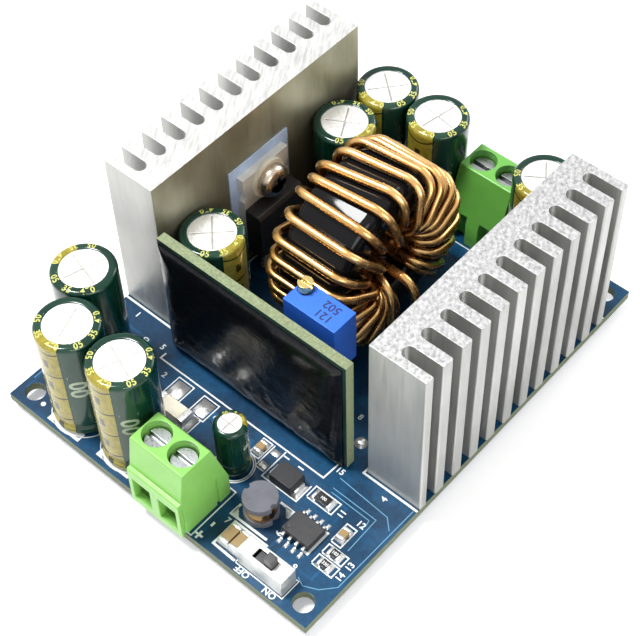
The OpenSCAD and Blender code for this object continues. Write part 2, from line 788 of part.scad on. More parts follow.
module fuse_caps() {
    color("silver") from_board(fuse_at) for (s = [-1, 1])
        box([1, fuse_size[1], fuse_size[2]], [s * (fuse_size[0] - 1) / 2, 0, 0]);
}

module chip(c, inset) {
    from_board(c, 90 * c[5]) box([c[2] - 2 * inset, c[3], c[4]]);
}

module chip_ends(c, inset) {
    from_board(c, 90 * c[5]) for (s = [-1, 1])
        box([inset, c[3], c[4]], [s * (c[2] - inset) / 2, 0, 0]);
}

module chip_resistors() {
    color("#2a2a2e") for (c = resistors)
        chip(c, 0.4);
}

module chip_capacitors() {
    color("#b59a68") for (c = ceramics)
        chip(c, 0.45);
}

module chip_terminals() {
    color("silver") {
        for (c = resistors)
            chip_ends(c, 0.4);
        for (c = ceramics)
            chip_ends(c, 0.45);
    }
}

// Solder joints under the board

module joints(sites, r, h) {
    for (at = sites)
        translate([at[0], at[1], board_z - h]) cylinder(r1 = 0.45 * r, r2 = r, h = h, $fn = 32);
}

module power_joints() {
    color("#b8bcc0") {
        joints(terminal_sites, 1.5, joint_h);
        joints(sink_pin_sites, 1.5, joint_h);
        joints(choke_sites, 1.6, joint_h);
    }
}

module signal_joints() {
    color("#b8bcc0") {
        joints(concat(big_cap_sites, transistor_sites), 1, signal_joint_h);
        joints(concat(small_cap_sites, switch_sites), 0.7, signal_joint_h);
        joints(control_sites, 0.9, signal_joint_h);
    }
}

main_board();
heatsink_left();
heatsink_right();
heatsink_pins();
transistor_left_leadframe();
transistor_left_case();
transistor_right_leadframe();
transistor_right_case();
insulating_pads();
insulating_bushes();
transistor_screws();
choke_core();
choke_winding();
capacitor_cans();
capacitor_sleeve_in_1();
capacitor_sleeve_in_2();
capacitor_sleeve_in_3();
capacitor_sleeve_mid();
capacitor_sleeve_out_1();
capacitor_sleeve_out_2();
capacitor_sleeve_out_3();
capacitor_sleeve_out_4();
capacitor_sleeve_small();
capacitor_bungs();
capacitor_leads();
input_terminal_housing();
input_terminal_contacts();
input_terminal_screw_a();
input_terminal_screw_b();
input_terminal_cage_a();
input_terminal_cage_b();
output_terminal_housing();
output_terminal_contacts();
output_terminal_screw_a();
output_terminal_screw_b();
output_terminal_cage_a();
output_terminal_cage_b();
control_board();
control_potting();
control_pins();
trimmer_body();
trimmer_screw();
trimmer_pins();
switch_shell();
switch_base();
switch_slider();
switch_pins();
drum_choke_core();
drum_choke_winding();
ic_body();
ic_leads();
diode_body();
diode_tabs();
fuse_body();
fuse_caps();
chip_resistors();
chip_capacitors();
chip_terminals();
power_joints();
signal_joints();
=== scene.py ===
"""Looks for the step-down converter module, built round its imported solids.

Lengths are in metres. Places on the board are given in millimetres from the middle of its top face.
"""
import json
import math

import bmesh
import bpy
from mathutils import Matrix, Vector, noise

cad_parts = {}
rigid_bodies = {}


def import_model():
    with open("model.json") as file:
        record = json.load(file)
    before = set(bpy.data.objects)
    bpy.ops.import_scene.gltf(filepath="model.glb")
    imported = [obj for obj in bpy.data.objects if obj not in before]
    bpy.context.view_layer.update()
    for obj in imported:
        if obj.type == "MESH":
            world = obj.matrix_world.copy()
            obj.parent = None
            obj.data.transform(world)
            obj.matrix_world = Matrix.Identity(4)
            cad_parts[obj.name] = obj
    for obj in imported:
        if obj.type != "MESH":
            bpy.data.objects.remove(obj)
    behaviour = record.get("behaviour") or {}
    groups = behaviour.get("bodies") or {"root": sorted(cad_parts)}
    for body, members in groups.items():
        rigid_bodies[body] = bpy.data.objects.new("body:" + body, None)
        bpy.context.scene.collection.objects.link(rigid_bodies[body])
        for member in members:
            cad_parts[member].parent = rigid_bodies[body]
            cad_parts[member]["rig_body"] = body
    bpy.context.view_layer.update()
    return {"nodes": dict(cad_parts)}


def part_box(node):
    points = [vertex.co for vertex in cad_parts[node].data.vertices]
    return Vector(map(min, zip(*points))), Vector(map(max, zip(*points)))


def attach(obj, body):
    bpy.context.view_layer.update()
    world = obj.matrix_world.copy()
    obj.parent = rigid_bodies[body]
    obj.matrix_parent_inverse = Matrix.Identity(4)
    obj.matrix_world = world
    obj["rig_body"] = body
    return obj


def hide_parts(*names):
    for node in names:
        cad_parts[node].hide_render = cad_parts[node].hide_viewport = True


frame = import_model()

MM = 0.001
NODES = frame["nodes"]
BOARD_LOW, BOARD_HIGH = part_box("main_board")
TOP = BOARD_HIGH.z
UNDER = BOARD_LOW.z
SINK = 0.01 * MM  # how deep print and solder reach into the face that they lie on


# Frame helpers

def on_board(x, y):
    """A place in millimetres from the middle of the board's top face."""
    return Vector((x * MM, y * MM, TOP))


def linear(red, green, blue):
    """A colour given as screen values from 0 to 255."""
    def channel(value):
        value /= 255
        return value / 12.92 if value <= 0.04045 else ((value + 0.055) / 1.055) ** 2.4
    return channel(red), channel(green), channel(blue), 1.0


def middle(box):
    return (box[0] + box[1]) / 2


def stands_at(node):
    """The (x, y) in millimetres that a CAD node is centred on."""
    return (middle(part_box(node)) / MM).xy


def solids(node):
    """The box of each separate solid of a CAD node, as (lowest corner, highest corner)."""
    bm = merged_copy(node)
    left, boxes = set(bm.verts), []
    while left:
        island, edge = set(), {left.pop()}
        while edge:
            island |= edge
            edge = {e.other_vert(v) for v in edge for e in v.link_edges} - island
        left -= island
        spots = [v.co for v in island]
        boxes.append((Vector([min(c[i] for c in spots) for i in range(3)]),
                      Vector([max(c[i] for c in spots) for i in range(3)])))
    bm.free()
    return sorted(boxes, key=lambda b: (round(b[0].y, 5), round(b[0].x, 5), round(b[0].z, 5)))


def merged_copy(node):
    """A CAD node's mesh as a bmesh with its loose triangles merged."""
    bm = bmesh.new()
    bm.from_mesh(NODES[node].data)
    bmesh.ops.remove_doubles(bm, verts=bm.verts, dist=0.002 * MM)
    return bm


# Making pieces

def body_holding(node):
    return NODES[node]["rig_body"]


def piece(name, bm, finishes, body="root", stands_for=(), sharp=35, even=True):
    """Turns a bmesh into a piece with smooth faces and hard edges past an angle in degrees."""
    for face in bm.faces:
        face.smooth = True
    for edge in bm.edges:
        edge.smooth = not (edge.is_manifold and edge.calc_face_angle(0) > math.radians(sharp))
    mesh = bpy.data.meshes.new(name)
    bm.to_mesh(mesh)
    bm.free()
    obj = bpy.data.objects.new(name, mesh)
    bpy.context.scene.collection.objects.link(obj)
    for finish in finishes:
        mesh.materials.append(finish)
    if even:
        even_normals = obj.modifiers.new("even", "WEIGHTED_NORMAL")
        even_normals.keep_sharp = True
    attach(obj, body)
    if stands_for:
        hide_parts(*stands_for)


def break_edges(bm, width, angle=35, segments=2):
    """Bevels every edge sharper than an angle in degrees by a width in millimetres."""
    edges = [e for e in bm.edges if e.is_manifold and e.calc_face_angle(0) > math.radians(angle)]
    bmesh.ops.bevel(bm, geom=edges, offset=width * MM, offset_type="OFFSET", affect="EDGES",
                    segments=segments, profile=0.5, material=-1, clamp_overlap=False)


def dressed(node, finishes, edge=0.1, segments=2, paint=None):
    """A copy of a CAD node with broken edges. paint gives each face the number of its finish."""
    bm = merged_copy(node)
    bmesh.ops.dissolve_limit(bm, angle_limit=math.radians(0.5), verts=bm.verts, edges=bm.edges)
    if paint:
        for face in bm.faces:
            face.normal_update()
            face.material_index = paint(face)
    if edge:
        break_edges(bm, edge, segments=segments)
    piece(node + "_finished", bm, finishes, body_holding(node), [node])


def turn_profile(bm, points, steps=64, centre=(0, 0, 0), axis=(0, 0, 1), out=(1, 0, 0)):
    """Spins an open profile of (radius, height) in millimetres about an axis through centre."""
    axis, out, centre = Vector(axis).normalized(), Vector(out).normalized(), Vector(centre)
    verts = [bm.verts.new(centre + r * MM * out + h * MM * axis) for r, h in points]
    edges = [bm.edges.new(pair) for pair in zip(verts, verts[1:])]
    bmesh.ops.spin(bm, geom=verts + edges, cent=centre, axis=axis, dvec=(0, 0, 0),
                   angle=2 * math.pi, steps=steps, use_merge=True, use_duplicate=False)
    bmesh.ops.remove_doubles(bm, verts=bm.verts, dist=0.001 * MM)


def arc(centre, radius, start, end, steps=6):
    """Points on an arc, with the angles in degrees."""
    angles = [math.radians(start + (end - start) * i / steps) for i in range(steps + 1)]
    return [(centre[0] + radius * math.cos(a), centre[1] + radius * math.sin(a)) for a in angles]


def add_block(bm, low, high, shrink_top=0.0):
    """A block between two corners in metres, whose top may be drawn in by a length in millimetres."""
    low, high = Vector(low), Vector(high)
    centre = middle((low, high))
    place = Matrix.Translation(centre) @ Matrix.Diagonal((*(high - low), 1))
    for vert in bmesh.ops.create_cube(bm, size=1, matrix=place)["verts"]:
        if shrink_top and vert.co.z > centre.z:
            for i in (0, 1):
                vert.co[i] += math.copysign(shrink_top * MM, centre[i] - vert.co[i])


def add_stroke(bm, start, end, width, low, high):
    """A straight line of print from start to end, (x, y) in metres, between two heights."""
    start, end = Vector(start), Vector(end)
    along = end - start
    turn = Matrix.Rotation(math.atan2(along.y, along.x), 4, "Z")
    place = Matrix.Translation((*((start + end) / 2), (low + high) / 2)) @ turn
    size = Matrix.Diagonal((along.length + width, width, high - low, 1))
    bmesh.ops.create_cube(bm, size=1, matrix=place @ size)


# Print: the font's size for a digit 1 mm high, its thickness in millimetres, and how far its strokes
# are spread, as a share of its height
FONT_SIZE = 1.4
PRINT_THICKNESS = 0.02
PRINT_SPREAD = 0.03


def add_text(bm, words, height, place=None, turn=0.0, wrap=None, spacing=1.0):
    """Flat print: height in millimetres, place in metres, turn in degrees.

    wrap takes the place of both: it gives each point of the flat print its place."""
    curve = bpy.data.curves.new("print", "FONT")
    curve.body = words
    curve.size = height * FONT_SIZE
    curve.align_x = "CENTER"
    curve.align_y = "CENTER"
    curve.space_character = spacing
    curve.extrude = PRINT_THICKNESS / 2
    curve.offset = PRINT_SPREAD * height
    curve.resolution_u = 3
    maker = bpy.data.objects.new("print", curve)
    bpy.context.scene.collection.objects.link(maker)
    bpy.context.view_layer.update()
    mesh = bpy.data.meshes.new_from_object(maker.evaluated_get(bpy.context.evaluated_depsgraph_get()))
    bpy.data.objects.remove(maker)
    bpy.data.curves.remove(curve)
    new = bmesh.new()
    new.from_mesh(mesh)
    bpy.data.meshes.remove(mesh)
    bmesh.ops.remove_doubles(new, verts=new.verts, dist=0.001)
    bmesh.ops.scale(new, vec=(MM, MM, MM), verts=new.verts)
    if wrap:
        bmesh.ops.triangulate(new, faces=new.faces)
        for vert in new.verts:
            vert.co = wrap(vert.co)
    else:
        new.transform(Matrix.Translation(place) @ Matrix.Rotation(math.radians(turn), 4, "Z"))
    kept = bpy.data.meshes.new("print")
    new.to_mesh(kept)
    new.free()
    bm.from_mesh(kept)
    bpy.data.meshes.remove(kept)


# Finishes

class Finish:
    """A material with its nodes, built step by step."""

    def __init__(self, name, colour, rough, metal=0.0, coat=0.0, coat_rough=0.1, ior=1.5):
        self.material = bpy.data.materials.new(name)
        self.material.use_nodes = True
        self.tree = self.material.node_tree
        self.shader = self.tree.nodes["Principled BSDF"]
        self.set("Base Color", colour)
        self.set("Roughness", rough)
        self.set("Metallic", metal)
        self.set("Coat Weight", coat)
        self.set("Coat Roughness", coat_rough)
        self.set("IOR", ior)
        self.coords = self.tree.nodes.new("ShaderNodeTexCoord")

    def set(self, socket, value):
        self.shader.inputs[socket].default_value = value

    def link(self, source, target):
        self.tree.links.new(source, target)

    def feed(self, socket, source):
        self.link(source, self.shader.inputs[socket])

    def spot(self, stretch=(1, 1, 1), centre=(0, 0, 0), turn=(0, 0, 0)):
        """Object coordinates counted from centre, turned by degrees and stretched."""
        shift = self.tree.nodes.new("ShaderNodeMapping")
        shift.inputs["Location"].default_value = [-c for c in centre]
        self.link(self.coords.outputs["Object"], shift.inputs["Vector"])
        if tuple(turn) == (0, 0, 0) and tuple(stretch) == (1, 1, 1):
            return shift.outputs["Vector"]
        turned = self.tree.nodes.new("ShaderNodeMapping")
        turned.inputs["Rotation"].default_value = [math.radians(t) for t in turn]
        self.link(shift.outputs["Vector"], turned.inputs["Vector"])
        stretched = self.tree.nodes.new("ShaderNodeMapping")
        stretched.inputs["Scale"].default_value = stretch
        self.link(turned.outputs["Vector"], stretched.inputs["Vector"])
        return stretched.outputs["Vector"]

    def noise(self, grain, detail=4.0, rough=0.55, where=None, distortion=0.0):
        """Noise whose grains are about this many millimetres across."""
        node = self.tree.nodes.new("ShaderNodeTexNoise")
        node.inputs["Scale"].default_value = 1 / (grain * MM)
        node.inputs["Detail"].default_value = detail
        node.inputs["Roughness"].default_value = rough
        node.inputs["Distortion"].default_value = distortion
        self.link(where or self.spot(), node.inputs["Vector"])
        return node.outputs["Fac"]

    def ramp(self, source, *stops):
        """Colours or greys at positions from 0 to 1."""
        node = self.tree.nodes.new("ShaderNodeValToRGB")
        bar = node.color_ramp
        while len(bar.elements) < len(stops):
            bar.elements.new(1.0)
        for element, (position, colour) in zip(bar.elements, stops):
            element.position = position
            element.color = colour if hasattr(colour, "__len__") else (colour, colour, colour, 1)
        self.link(source, node.inputs["Fac"])
        return node.outputs["Color"]

    def mix(self, amount, first, second, kind="MIX"):
        node = self.tree.nodes.new("ShaderNodeMix")
        node.data_type = "RGBA"
        node.blend_type = kind
        for socket, value in ((0, amount), (6, first), (7, second)):
            self.put(value, node.inputs[socket])
        return node.outputs[2]

    def put(self, value, socket):
        if isinstance(value, bpy.types.NodeSocket):
            self.link(value, socket)
        else:
            socket.default_value = value

    def maths(self, kind, first, second=0.0, third=0.0):
        node = self.tree.nodes.new("ShaderNodeMath")
        node.operation = kind
        for socket, value in zip(node.inputs, (first, second, third)):
            self.put(value, socket)
        return node.outputs[0]

    def parts(self, vector):
        node = self.tree.nodes.new("ShaderNodeSeparateXYZ")
        self.link(vector, node.inputs[0])
        return node.outputs

    def bump(self, height, depth):
        """Relief whose full height is a depth in millimetres."""
        node = self.tree.nodes.new("ShaderNodeBump")
        node.inputs["Strength"].default_value = 1.0
        node.inputs["Distance"].default_value = depth * MM
        self.link(height, node.inputs["Height"])
        if self.shader.inputs["Normal"].is_linked:
            self.link(self.shader.inputs["Normal"].links[0].from_socket, node.inputs["Normal"])
        self.feed("Normal", node.outputs["Normal"])


def scaled(colour, amount):
    return (*[min(1.0, c * amount) for c in colour[:3]], 1.0)


def moulded(name, colour, rough=0.4, coat=0.0, grain=0.25, depth=0.004, vary=0.12, ior=1.5):
    """Moulded plastic with a fine grain and a slightly uneven colour."""
    f = Finish(name, colour, rough, coat=coat, ior=ior)
    patches = f.noise(3.0, 3)
    shade = f.ramp(patches, (0.3, scaled(colour, 1 - vary)), (0.7, scaled(colour, 1 + vary)))
    f.feed("Base Color", shade)
    f.feed("Roughness", f.ramp(f.noise(0.6, 4), (0.3, rough * 0.85), (0.7, rough * 1.2)))
    f.bump(f.noise(grain, 3), depth)
    return f.material


def metal(name, colour, rough=0.3, grain=0.4, depth=0.003, vary=0.1, stain=None, bare=1.0):
    """Bare or plated metal with fine marks."""
    f = Finish(name, colour, rough, metal=bare)
    patches = f.noise(2.0, 5)
    shade = f.ramp(patches, (0.3, scaled(colour, 1 - vary)), (0.7, scaled(colour, 1 + vary)))
    if stain:
        shade = f.mix(f.ramp(f.noise(1.3, 6, 0.7), (0.55, 0.0), (0.75, 0.6)), shade, stain)
    f.feed("Base Color", shade)
    marks = f.noise(grain, 5, 0.6)
    f.feed("Roughness", f.ramp(marks, (0.3, rough * 0.7), (0.7, rough * 1.35)))
    f.bump(marks, depth)
    return f.material


# The pitch of the board's glass cloth, and that of the marks down a sleeve's stripe
WEAVE = 0.5 * MM
STRIPE_PITCH = 5.2 * MM


def solder_mask(name, colour, copper, seed):
    """Glossy mask over woven glass, with the copper areas showing through a little lighter."""
    f = Finish(name, colour, 0.4, coat=0.1, coat_rough=0.15, ior=1.34)
    pours = f.ramp(f.noise(9.0, 2, 0.4, f.spot(centre=(seed, seed, 0))), (0.44, 0.0), (0.5, 1.0))
    shade = f.mix(pours, colour, copper)
    mottle = f.ramp(f.noise(0.7, 5), (0.3, 0.72), (0.72, 1.15))
    f.feed("Base Color", f.mix(1.0, shade, mottle, "MULTIPLY"))
    across, along = f.parts(f.spot())[0:2]
    waves = [f.maths("SINE", f.maths("MULTIPLY", way, 2 * math.pi / WEAVE)) for way in (across, along)]
    f.bump(f.maths("MULTIPLY", *waves), 0.002)
    f.bump(f.noise(2.5, 3), 0.01)
    return f.material


def glass_board_edge(name, colour):
    """The cut edge of a glass-fibre board: pale, with layers and chips."""
    f = Finish(name, colour, 0.65)
    layers = f.noise(0.35, 4, 0.6, f.spot((1, 1, 5)))
    shade = f.ramp(layers, (0.3, scaled(colour, 0.62)), (0.55, colour), (0.75, scaled(colour, 1.35)))
    f.feed("Base Color", shade)
    f.bump(layers, 0.04)
    return f.material


def extruded_aluminium(name, drawn, inner, cut, streak):
    """Drawn faces with upright die lines and sawn ends.

    drawn, inner and cut are each a dark and a light colour: inner is painted shade for the faces that
    point along +x, such as the face towards the choke.
    streak is how far the saw's marks are drawn out: 1 gives a mottled cut."""
    f = Finish(name, cut[1], 0.45, metal=0.7)
    x, _, z = f.parts(f.coords.outputs["Normal"])
    sawn = f.ramp(f.maths("ABSOLUTE", z), (0.6, 0.0), (0.8, 1.0))
    die = f.noise(0.5, 5, 0.62, f.spot((1, 1, 0.04)))
    saw = f.noise(0.55, 7, 0.72, f.spot((streak, 1, 1), turn=(0, 0, 58)))
    blotch = f.noise(14.0, 4, 0.55, f.spot((1, 1, 0.5)))
    tints_and_painted_shade = [f.ramp(blotch, (0.3, pair[0]), (0.7, pair[1])) for pair in (drawn, inner)]
    # Painted shade: faces that point along +x take the inner colours in place of the drawn ones
    face = f.mix(f.maths("GREATER_THAN", x, 0.7), *tints_and_painted_shade)
    lined = f.mix(1.0, face, f.ramp(die, (0.3, 0.9), (0.7, 1.06)), "MULTIPLY")
    f.feed("Base Color", f.mix(sawn, lined, f.ramp(saw, (0.38, cut[0]), (0.6, cut[1]))))
    drawn_rough, sawn_rough = f.ramp(die, (0.3, 0.34), (0.7, 0.5)), f.ramp(saw, (0.3, 0.45), (0.7, 0.62))
    f.feed("Roughness", f.mix(sawn, drawn_rough, sawn_rough))
    f.bump(f.mix(sawn, die, saw), 0.012)
    return f.material


def enamelled_copper_painted_shade():
    """Drawn wire under a clear enamel, with painted shade: redder and darker where its normal turns away
    from a fixed light direction.
    """
    f = Finish("enamelled_copper_painted_shade", (0.6, 0.3, 0.1, 1), 0.27, metal=1.0, coat=0.4, coat_rough=0.12)
    patches = f.noise(5.0, 3)
    lit = f.ramp(patches, (0.35, (0.66, 0.36, 0.11, 1)), (0.7, (0.84, 0.54, 0.21, 1)))
    # Painted shade: the colour runs from the lit copper tones to a deep red-brown as the normal turns
    # away from a fixed light direction
    x, y, z = f.parts(f.coords.outputs["Normal"])
    side_share, up_share = -0.42, 0.78
    sideways = f.maths("MULTIPLY", f.maths("ADD", x, y), side_share)
    facing_painted_light = f.maths("ADD", f.maths("MULTIPLY", z, up_share), sideways)
    turned = f.ramp(f.maths("MULTIPLY_ADD", facing_painted_light, 0.5, 0.5), (0.2, 0.0), (0.72, 1.0))
    f.feed("Base Color", f.mix(turned, (0.27, 0.085, 0.025, 1), lit))
    f.feed("Roughness", f.ramp(f.noise(1.5, 3), (0.3, 0.23), (0.7, 0.32)))
    f.bump(f.noise(1.6, 2), 0.003)
    return f.material


def shrunk_sleeve(name, centre, facing, top):
    """Glossy printed film: green, with a yellow stripe of dashes and arcs facing one way in degrees."""
    green, yellow, pale = linear(8, 48, 36), linear(158, 145, 52), linear(40, 72, 56)
    f = Finish(name, green, 0.16, coat=0.15, coat_rough=0.06, ior=1.38)
    x, y, z = f.parts(f.spot(centre=centre, turn=(0, 0, -facing)))
    angle = f.maths("ARCTAN2", y, x)
    width = f.maths("ABSOLUTE", angle)

    def within(value, band, half):
        off = f.maths("ABSOLUTE", f.maths("SUBTRACT", value, band))
        return f.maths("LESS_THAN", off, half)

    stripe = f.maths("LESS_THAN", width, 0.5)
    fall = f.maths("MULTIPLY", f.maths("SUBTRACT", top, z), 1 / STRIPE_PITCH)
    sag = f.maths("MULTIPLY", f.maths("MULTIPLY", angle, angle), 0.5)
    rung = f.maths("FRACT", f.maths("ADD", fall, sag))
    line = within(rung, 0.36, 0.03)
    dash = f.maths("MULTIPLY", within(rung, 0.86, 0.19), f.maths("LESS_THAN", width, 0.1))
    dark = f.maths("MAXIMUM", line, dash)
    beside = within(width, 0.86, 0.3)
    film = f.ramp(f.noise(4, 3), (0.3, scaled(green, 0.8)), (0.7, scaled(green, 1.25)))
    rest = f.mix(f.maths("MULTIPLY", beside, 0.45), film, pale)
    worn = f.ramp(f.noise(1.0, 6, 0.65), (0.32, scaled(yellow, 0.62)), (0.6, yellow))
    f.feed("Base Color", f.mix(stripe, rest, f.mix(dark, worn, linear(52, 50, 20))))
    f.bump(f.noise(1.8, 3), 0.03)
    return f.material


def potting(name):
    """Poured black resin, glossy, with shallow waves and small craters."""
    f = Finish(name, (0.003, 0.0035, 0.0045, 1), 0.14, ior=1.27)
    f.feed("Roughness", f.ramp(f.noise(1.5, 4), (0.3, 0.08), (0.7, 0.26)))
    f.bump(f.noise(1.3, 5, 0.55, distortion=0.4), 0.06)
    return f.material


def cut_glass(amount):
    """A pale grey-green board edge, as bright as an amount."""
    return scaled(linear(150, 163, 122), amount)


# Painted shade, darker and warmer, for the left heatsink's face towards the choke
OLIVE_PAINTED_SHADE = linear(122, 118, 92), linear(186, 183, 160)
LEFT_GREY = linear(150, 151, 148), linear(188, 188, 185)
LEFT_CUT = linear(172, 172, 170), linear(206, 206, 204)
RIGHT_GREY = linear(160, 161, 157), linear(194, 194, 191)
RIGHT_CUT = linear(140, 140, 140), linear(194, 194, 194)
ALUMINIUM_LEFT = extruded_aluminium("aluminium_left", LEFT_GREY, OLIVE_PAINTED_SHADE, LEFT_CUT, 0.14)
# The right heatsink's faces that point along +x take LEFT_GREY as a slightly darker painted shade
ALUMINIUM_RIGHT = extruded_aluminium("aluminium_right", RIGHT_GREY, LEFT_GREY, RIGHT_CUT, 0.8)
MASK_BLUE = solder_mask("mask_blue", linear(3, 52, 84), linear(7, 66, 102), 0.013)
MASK_TRACK = solder_mask("mask_over_copper", linear(16, 82, 124), linear(12, 74, 114), 0.05)
MASK_GREEN = solder_mask("mask_green", linear(8, 36, 30), linear(14, 50, 42), 0.031)
MASK_LINE = moulded("mask_line", linear(96, 150, 182), 0.4, vary=0.1)
BOARD_EDGE = glass_board_edge("board_edge", cut_glass(0.42))
PALE_BOARD_EDGE = glass_board_edge("pale_board_edge", cut_glass(0.72))
COPPER = enamelled_copper_painted_shade()
CORE_BLACK = moulded("core_coating", (0.006, 0.006, 0.007, 1), 0.07, grain=1.6, depth=0.004, ior=1.26)
MOULDING = moulded("moulding_compound", (0.016, 0.016, 0.018, 1), 0.5, grain=0.12, depth=0.006)
IC_GREY = moulded("circuit_moulding", (0.03, 0.03, 0.032, 1), 0.55, grain=0.12, depth=0.006)
TERMINAL_GREEN = moulded("terminal_green", linear(128, 190, 88), 0.36, coat=0.15, vary=0.05)
TERMINAL_DARK = moulded("terminal_dark_green", linear(104, 176, 74), 0.36, coat=0.15, vary=0.05)
PAD_BLUE = moulded("silicone_pad", linear(176, 196, 226), 0.6, grain=0.15, depth=0.008)
NYLON = moulded("nylon", linear(226, 220, 200), 0.4)
TRIMMER_BLUE = moulded("trimmer_blue", linear(44, 108, 222), 0.42, vary=0.06)
KNOB_GREY = moulded("knob_grey", linear(70, 70, 72), 0.5)
BASE_BLACK = moulded("switch_base", linear(30, 30, 31), 0.5)
FERRITE = moulded("ferrite", linear(98, 99, 108), 0.6, grain=0.1, depth=0.012)
RESISTOR = moulded("resistor_glaze", linear(26, 26, 30), 0.25, coat=0.4)
CERAMIC = moulded("ceramic_tan", linear(156, 130, 86), 0.4, vary=0.1)
FUSE_CERAMIC = moulded("fuse_ceramic", linear(236, 230, 208), 0.3, coat=0.4)
BUNG = moulded("bung_rubber", linear(24, 24, 24), 0.7)
PRINT_WHITE = moulded("print_white", linear(226, 230, 228), 0.5, grain=0.08, depth=0.004, vary=0.05)
PRINT_YELLOW = moulded("print_yellow", linear(196, 196, 104), 0.45, vary=0.08)
PRINT_DARK = moulded("print_dark", linear(12, 30, 88), 0.5, vary=0.06)
PRINT_GREY = moulded("print_grey", linear(164, 176, 154), 0.5, vary=0.08)
TIN = metal("tin", (0.72, 0.72, 0.71, 1), 0.32, depth=0.008, bare=0.8)
TAB = metal("leadframe", linear(220, 217, 208), 0.5, depth=0.006, bare=0.3)
SOLDER = metal("solder", (0.74, 0.74, 0.73, 1), 0.3, grain=0.8, depth=0.015, bare=0.75)
STEEL = metal("plated_steel", (0.56, 0.48, 0.40, 1), 0.3, stain=(0.22, 0.15, 0.10, 1))
SCREW_STEEL = metal("terminal_screw_steel", (0.38, 0.40, 0.40, 1), 0.32, grain=0.3, depth=0.006)
NICKEL = metal("nickel", (0.74, 0.72, 0.68, 1), 0.24)
CAN = metal("can_aluminium", linear(244, 244, 244), 0.42, grain=0.3, depth=0.004, vary=0.04)
# Painted shade for the floor of the score in each can's top, with a slightly rougher finish
CAN_SCORE_PAINTED_SHADE = metal("can_score_painted_shade", linear(168, 166, 160), 0.5, grain=0.3, depth=0.004)
BRASS = metal("brass", (0.78, 0.60, 0.24, 1), 0.24, grain=0.3)
SHELL = metal("switch_shell", (0.66, 0.66, 0.64, 1), 0.4, grain=0.6, depth=0.01, bare=0.85)
POTTING = potting("potting")


# Board, heatsinks and their fixings

def board_paint(face):
    return 0 if abs(face.normal.z) > 0.7 else 1


def control_board_paint(face):
    return 0 if abs(face.normal.y) > 0.7 else 1


dressed("main_board", [MASK_BLUE, BOARD_EDGE], edge=0.08, paint=board_paint)


class Print:
    """Flat shapes on one face of the main board, gathered in one piece. Lengths are in millimetres."""

    def __init__(self, level=0.02, under=False):
        self.bm = bmesh.new()
        self.under = under
        if under:
            self.low, self.high = UNDER - level * MM, UNDER + SINK
        else:
            self.low, self.high = TOP - SINK, TOP + level * MM

    def line(self, points, width=0.2, closed=False):
        ends = points[1:] + points[:1] * closed
        for i, ((ax, ay), (bx, by)) in enumerate(zip(points, ends)):
            lift = 0.002 * MM * (i % 3)
            add_stroke(self.bm, (ax * MM, ay * MM), (bx * MM, by * MM), width * MM,
                       self.low - lift * self.under, self.high + lift * (not self.under))

    def box(self, low, high, width=0.2):
        self.line([low, (high[0], low[1]), high, (low[0], high[1])], width, closed=True)

    def patch(self, low, high):
        add_block(self.bm, (low[0] * MM, low[1] * MM, self.low), (high[0] * MM, high[1] * MM, self.high))

    def ring(self, at, radius, width=0.2):
        self.line(arc(at, radius, 0, 360, 40), width)

    def dot(self, at, radius):
        made = bmesh.ops.create_circle(self.bm, cap_ends=True, radius=radius * MM, segments=20,
                                       matrix=Matrix.Translation((at[0] * MM, at[1] * MM, self.high)))
        bmesh.ops.recalc_face_normals(self.bm, faces=made["verts"][0].link_faces)

    def words(self, text, at, height=1.1, turn=0.0):
        add_text(self.bm, text, height, Vector((at[0] * MM, at[1] * MM, self.high - 0.005 * MM)), turn)

    def done(self, name, finish):
        piece(name, self.bm, [finish], sharp=50, even=False)


# The sleeves' nodes are named from this, and their stripes face these ways, in degrees
SLEEVE = "capacitor_sleeve_"
FACINGS = {"in_1": 180, "in_2": -90, "in_3": -90, "mid": 0, "out_1": 0, "out_2": -90, "out_3": -90,
           "out_4": -90, "small": 60}
# In millimetres: the rings round the capacitors, and a large ring's filled end
RING, SMALL_RINGS = 5.3, (2.8, 3.1)
END_FROM, END_TO, END_HALF = 3.6, 5.15, 3.3


def capacitor_outlines(p):
    """A ring round each capacitor, and on the large ones a filled end on the stripe's side."""
    for name, facing in FACINGS.items():
        at = stands_at(SLEEVE + name)
        if name == "small":
            for radius in SMALL_RINGS:
                p.ring(at, radius, 0.16)
            continue
        p.ring(at, RING, 0.16)
        a = math.radians(facing)
        along, across = Vector((math.cos(a), math.sin(a))), Vector((-math.sin(a), math.cos(a)))
        near = at + END_FROM * along - END_HALF * across
        far = at + END_TO * along + END_HALF * across
        p.patch([min(c) for c in zip(near, far)], [max(c) for c in zip(near, far)])


